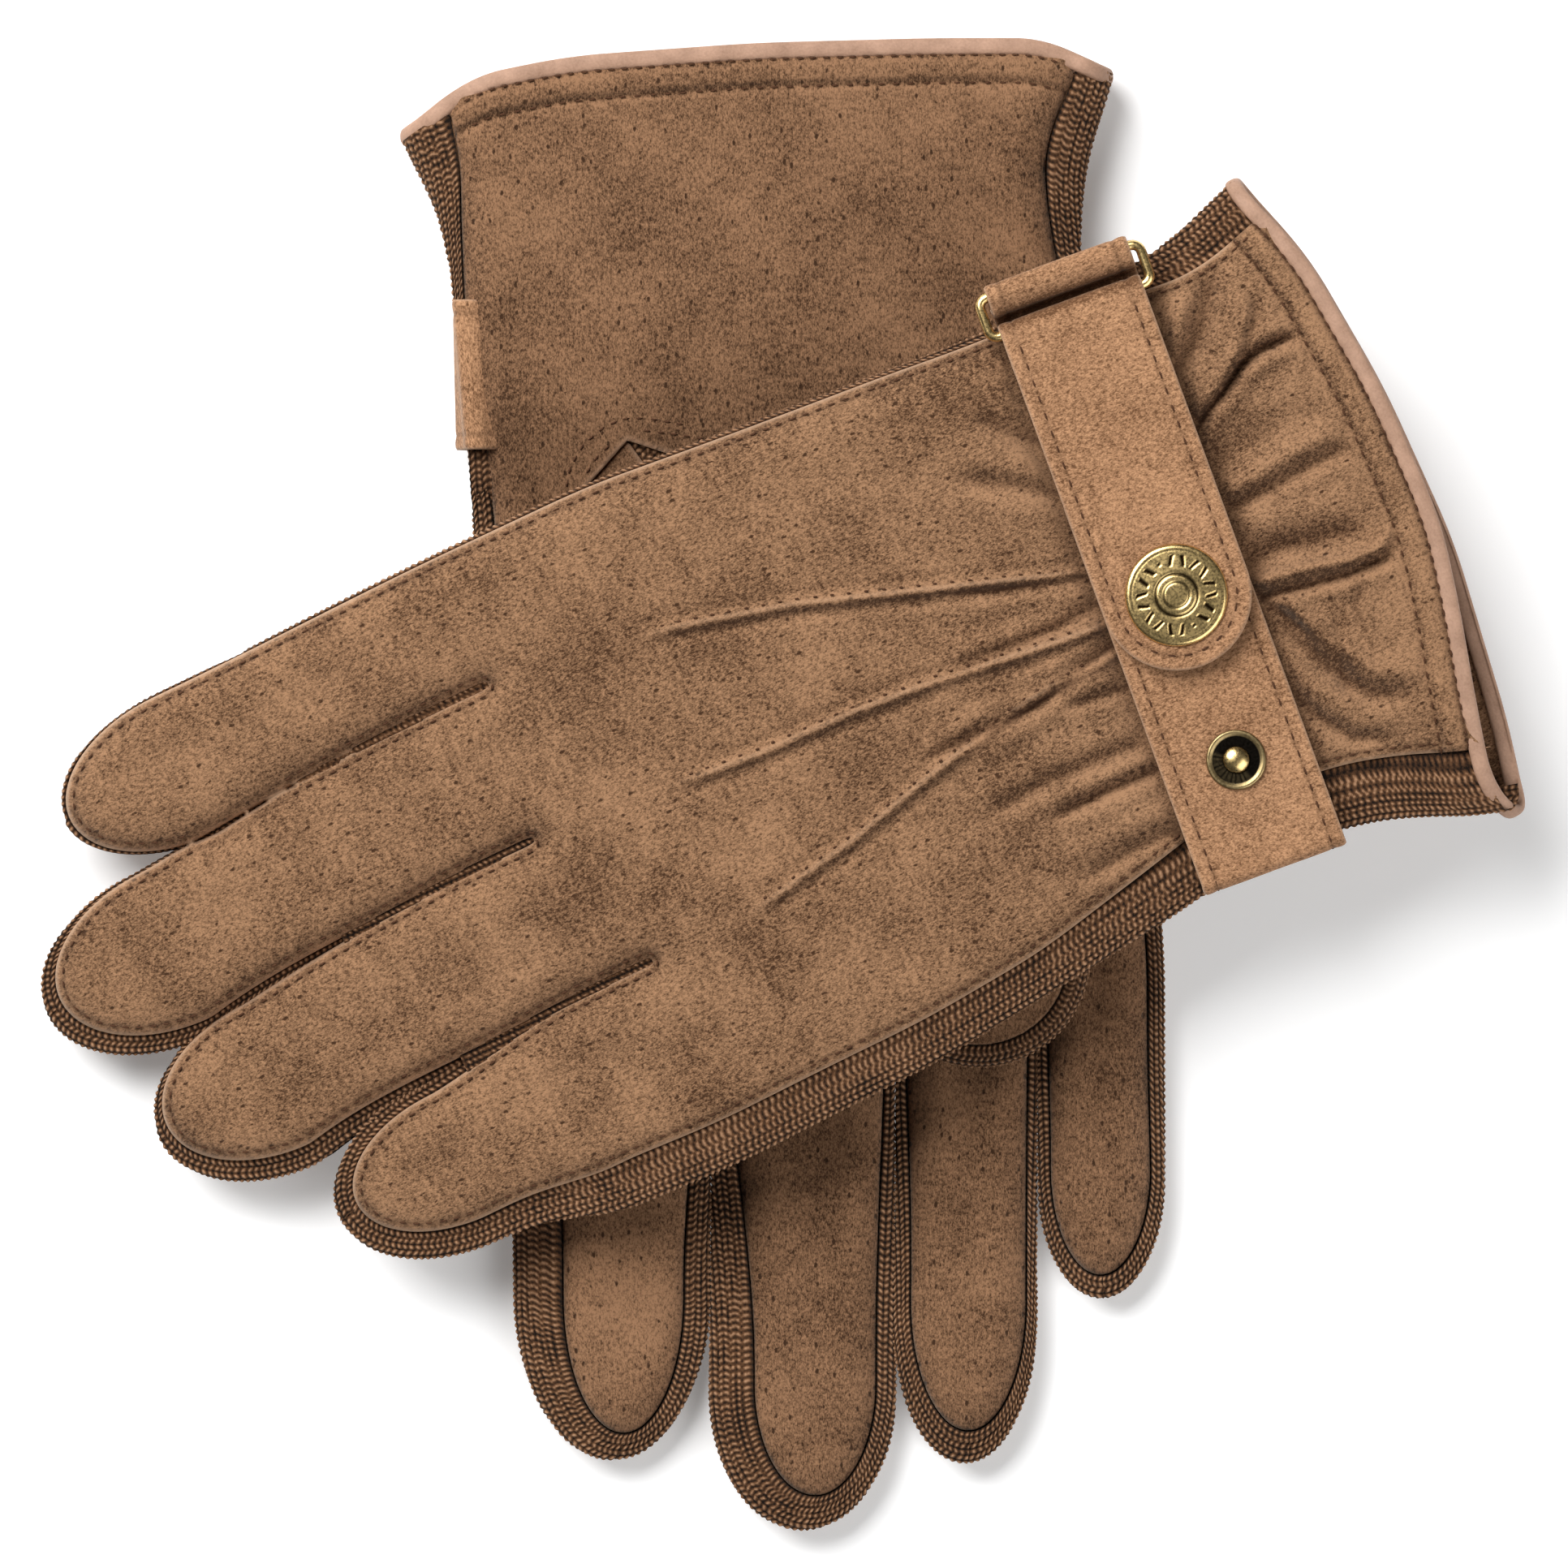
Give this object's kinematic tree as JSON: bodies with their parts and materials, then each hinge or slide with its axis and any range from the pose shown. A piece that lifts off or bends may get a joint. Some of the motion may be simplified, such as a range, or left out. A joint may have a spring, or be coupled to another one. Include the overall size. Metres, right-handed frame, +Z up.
{
  "type": "leather driving gloves",
  "caption": "Pair of suede driving gloves crossed one on the other, with knitted side walls, bound cuffs and a snap strap on the back of each wrist.",
  "frame": {"origin": "centre of the pair's footprint, on the surface it lies on", "axes": "+Z up, +Y towards the right glove's cuff, its fingers towards -Y"},
  "size_m": [0.2431, 0.2524, 0.0384],
  "materials": {
    "suede": "napped suede with small dark pores",
    "binding": "smooth satin binding",
    "knit": "brown rib knit",
    "brass": "antique brushed brass",
    "dark_brass": "darkened antique brass"
  },
  "bodies": {
    "right_glove": {"right_palm_panel": "suede", "right_back_panel": "suede", "right_thumb_gusset": "suede", "right_thumb_side_knit": "knit", "right_fourchette_index_middle": "knit", "right_fourchette_middle_ring": "knit", "right_fourchette_ring_little": "knit", "right_little_side_knit": "knit", "right_thumb_front": "suede", "right_thumb_back": "suede", "right_thumb_knit": "knit", "right_cuff_binding": "binding", "right_strap_keeper": "suede", "right_strap_base": "suede", "right_snap_studs": "dark_brass", "right_snap_rivets": "brass"},
    "right_ring": {"right_strap_ring": "brass"},
    "right_tab": {"right_strap_tab": "suede", "right_snap_cap": "brass", "right_snap_socket": "brass"},
    "left_glove": {"left_palm_panel": "suede", "left_back_panel": "suede", "left_thumb_gusset": "suede", "left_thumb_side_knit": "knit", "left_fourchette_index_middle": "knit", "left_fourchette_middle_ring": "knit", "left_fourchette_ring_little": "knit", "left_little_side_knit": "knit", "left_thumb_front": "suede", "left_thumb_back": "suede", "left_thumb_knit": "knit", "left_cuff_binding": "binding", "left_strap_keeper": "suede", "left_strap_base": "suede", "left_snap_studs": "dark_brass", "left_snap_rivets": "brass"},
    "left_ring": {"left_strap_ring": "brass"},
    "left_tab": {"left_strap_tab": "suede", "left_snap_cap": "brass", "left_snap_socket": "brass"}
  },
  "joints": [
    {"name": "left_lift", "type": "slide", "parent": "right_glove", "child": "left_glove", "axis": [0, 0, 1], "range_m": [0, 0.12]},
    {"name": "right_ring_hinge", "type": "hinge", "parent": "right_glove", "child": "right_ring", "pos_m": [-0.048, 0.0702, 0.00365], "axis": [0, 1, 0], "range_deg": [0, 75]},
    {"name": "right_tab_hinge", "type": "hinge", "parent": "right_ring", "child": "right_tab", "pos_m": [-0.0412, 0.0702, 0.00365], "axis": [0, 1, 0], "range_deg": [0, 135]},
    {"name": "left_ring_hinge", "type": "hinge", "parent": "left_glove", "child": "left_ring", "pos_m": [0.04789, 0.08667, 0.03535], "axis": [-0.9391, -0.3437, 0], "range_deg": [0, 75]},
    {"name": "left_tab_hinge", "type": "hinge", "parent": "left_ring", "child": "left_tab", "pos_m": [0.05023, 0.08029, 0.03535], "axis": [-0.9391, -0.3437, 0], "range_deg": [0, 135]}
  ]
}
